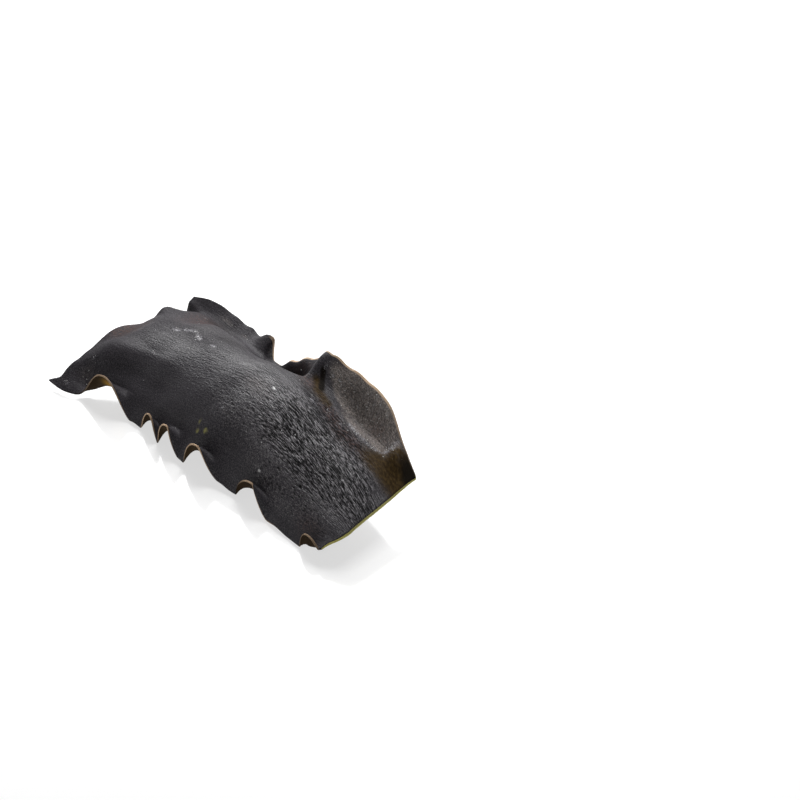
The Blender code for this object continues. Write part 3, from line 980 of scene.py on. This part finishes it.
def fill_upper(material):
    tree = material.node_tree
    flat, sunk = mark(tree, "flat", "Vector"), mark(tree, "sunk")
    fine = blotched(flat, 1.3, 0.38, 0.66, 4.0)
    speck = blotched(flat, 0.5, 0.40, 0.64, 5.0)
    film_noise = blotched(flat, 1.8, 0.44, 0.70, 7.0)
    grain = place_group(tree, fine_grain, {
        "Flat": flat, "Crease Pitch": 0.36, "Crease Length": 1.5, "Pore Size": 1.25,
        "Pores": mark(tree, "pitted"),
    })
    lobe = ramp(mark(tree, "dusty"), 0.1, 0.9, 0.0, 0.9)
    thin = ramp(mark(tree, "thin"), 0.05, 0.9)
    salt_film = times(film_noise, mark(tree, "dusty"), 0.5)
    base = lay_skin(tree, flat, fine, speck, grain["Pore Mask"], lobe, thin)
    base = mix(salt_film, base, SALT_FILM)
    base = paint_ridge_highlight_and_shade(tree, base, sunk, speck)
    base = lay_salt_and_rim(tree, base, flat, speck, film_noise)
    rough_skin = ramp(mark(tree, "wrinkled"), 0.0, 1.0, 0.55, 1.5)
    finish_with(material, times(grain["Height"], rough_skin), 0.45 * MM, {
        "Base Color": base, "Roughness": 0.7, "Specular IOR Level": 0.10, "Coat Roughness": 0.28,
        "Coat Weight": slime_film(tree, flat, sunk, speck, (thin, lobe, salt_film)),
    })


fill_upper(upper_finish)

# %% [markdown]
# ## Underside, rims and cut
# The underside dried against the ground and stayed browner and dull, with an amber patch under
# the wide arch where light comes through. Light through the blade could be traced, but one warm
# patch of colour gives the same look at once.

# %% Underside
def fill_underside(material):
    tree = material.node_tree
    flat = mark(tree, "flat", "Vector")
    cloud = blotched(flat, 9.0, 0.35, 0.68, 12.0)
    grain = place_group(tree, fine_grain, {"Flat": flat, "Crease Pitch": 0.9, "Crease Length": 3.0})
    base = mix(cloud, colour(0.020, 0.012, 0.006), colour(0.034, 0.021, 0.009))
    base = mix(mark(tree, "amber"), base, colour(0.36, 0.20, 0.03))
    finish_with(material, grain["Height"], 0.12 * MM, {
        "Base Color": base, "Roughness": ramp(cloud, 0.0, 1.0, 0.9, 0.8), "Specular IOR Level": 0.03,
    })


fill_underside(under_finish)

# %% [markdown]
# The natural rims are worn to a thin tan line on the frills, and nearly black between them.

# %% Natural rim
def fill_rim(material):
    tree = material.node_tree
    worn = blotched(mark(tree, "flat", "Vector"), 3.0, 0.3, 0.6, 21.0)
    tan = times(mark(tree, "tan"), ramp(worn, 0.0, 1.0, 0.55, 1.0))
    finish_with(material, worn, 0.06 * MM, {
        "Base Color": mix(tan, colour(0.012, 0.009, 0.008), colour(0.74, 0.52, 0.34)),
        "Roughness": ramp(tan, 0.0, 1.0, 0.7, 0.6), "Specular IOR Level": 0.15,
    })


fill_rim(rim_finish)

# %% [markdown]
# The cut shows the layers inside: a dark skin on both faces, a pale yellow green cortex and a
# darker line of core in the middle. The mesh stores how deep each point lies, from 0 at the upper
# face to 1 at the underside, so the layers are bands of that depth.

# %% Cut face
CORE_AT = 0.52


def fill_cut(material):
    tree = material.node_tree
    flat = mark(tree, "flat", "Vector")
    fibres = blotched(flat, 1.2, 0.3, 0.7, 31.0)
    from_core = maths("ABSOLUTE", maths("SUBTRACT", split(flat)["Z"], CORE_AT))
    cortex = mix(fibres, colour(0.40, 0.36, 0.05), colour(0.66, 0.61, 0.15))
    base = mix(ramp(from_core, 0.03, 0.11), colour(0.12, 0.11, 0.03), cortex)
    base = mix(ramp(from_core, 0.42, 0.47), base, colour(0.03, 0.025, 0.012))
    finish_with(material, fibres, 0.10 * MM, {"Base Color": base, "Roughness": 0.62})


fill_cut(cut_finish)

# %% [markdown]
# Salt is white where it is clean and greyer where dust of the leaf sticks to it. The grains have
# no place on the flat blade, so their blotches are read on Object coordinates.

# %% Salt
def fill_salt(material):
    tree = material.node_tree
    place = add(tree, "ShaderNodeTexCoord").outputs["Object"]
    clean = blotched(place, 6.0, 0.45, 0.62, 0.0)
    fill(tree, tree.nodes["Principled BSDF"], {
        "Base Color": mix(clean, colour(0.45, 0.44, 0.42), colour(0.75, 0.75, 0.76)),
        "Roughness": 0.5,
    })
    print(material.name, len(tree.nodes), "nodes")


fill_salt(salt_finish)

# %% [markdown]
# ## Riding on the solid
# The blade stands for the solid, and the grains go with it.

# %% Pieces on the frame
for piece in (blade, grains):
    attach(piece, "root")
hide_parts("kelp_strip")
print("pieces:", blade.name, grains.name)

# %% [markdown]
# ## Floor, light and camera
# The floor is plain and pale, and glows a little, so that the strip casts only a soft shadow.

# %% Floor
FLOOR_HALF = 3.0        # metres

floor_mesh = bpy.data.meshes.new("studio_floor")
corners = [(FLOOR_HALF * x, FLOOR_HALF * y, 0) for x, y in ((-1, -1), (1, -1), (1, 1), (-1, 1))]
floor_mesh.from_pydata(corners, [], [(0, 1, 2, 3)])
floor = new_object("studio_floor", floor_mesh)
floor_finish = empty_material("studio_floor")
fill(floor_finish.node_tree, floor_finish.node_tree.nodes["Principled BSDF"], {
    "Base Color": colour(0.40, 0.40, 0.40), "Roughness": 0.10, "IOR": 1.6,
    "Emission Color": colour(1.0, 1.0, 1.0), "Emission Strength": 0.64,
})
floor_mesh.materials.append(floor_finish)
print("floor:", 2 * FLOOR_HALF, "m wide")

# %% [markdown]
# A wide soft light behind the strip on the left gives the sheen on the band, and leaves the left
# flank and the cut end dark. A smaller one above fills in the middle. A sun would be too hard.

# %% Light
def softbox(name, place, size, power):
    """A rectangular light that looks at the strip."""
    light = bpy.data.lights.new(name, "AREA")
    light.shape = "RECTANGLE"
    light.size, light.size_y = size
    light.energy = power
    turned = (-Vector(place)).to_track_quat("-Z", "Y")
    new_object(name, light).matrix_world = Matrix.Translation(place) @ turned.to_matrix().to_4x4()
    print(name, power, "W")


softbox("light_behind_left", (-0.62, 0.52, 0.62), (1.2, 0.7), 12)
softbox("light_above", (-0.10, 0.36, 0.92), (0.5, 0.35), 5.5)

world = bpy.data.worlds.new("studio")
world.use_nodes = True
fill(world.node_tree, world.node_tree.nodes["Background"], {"Color": colour(1.0, 1.0, 1.0), "Strength": 0.12})
bpy.context.scene.world = world
bpy.context.scene.view_settings.view_transform = "Standard"

# %% [markdown]
# The camera stands where the photograph's did, beyond the cut end on the left, and looks down at
# 33 degrees. Its place was worked out from the table, the cut and the frills.

# %% Camera
CAMERA_AT = np.array([419.3, -147.5, 262.7])    # in the drawing's millimetres
CAMERA_TURN = np.radians(50.0)
CAMERA_DOWN = np.radians(33.0)
CAMERA_LENS = 49.5

back = Vector((
    np.sin(CAMERA_TURN) * np.cos(CAMERA_DOWN), -np.cos(CAMERA_TURN) * np.cos(CAMERA_DOWN), np.sin(CAMERA_DOWN)
))
right = Vector((np.cos(CAMERA_TURN), np.sin(CAMERA_TURN), 0.0))
turn = Matrix((right, back.cross(right), back)).transposed()
camera_data = bpy.data.cameras.new("camera")
camera_data.lens = CAMERA_LENS
camera_data.clip_start = 0.01
camera = new_object("camera", camera_data)
camera.matrix_world = Matrix.Translation(Vector((CAMERA_AT - foot) * MM)) @ turn.to_4x4()
bpy.context.scene.camera = camera
print("camera:", [round(c, 3) for c in camera.matrix_world.translation], "m")
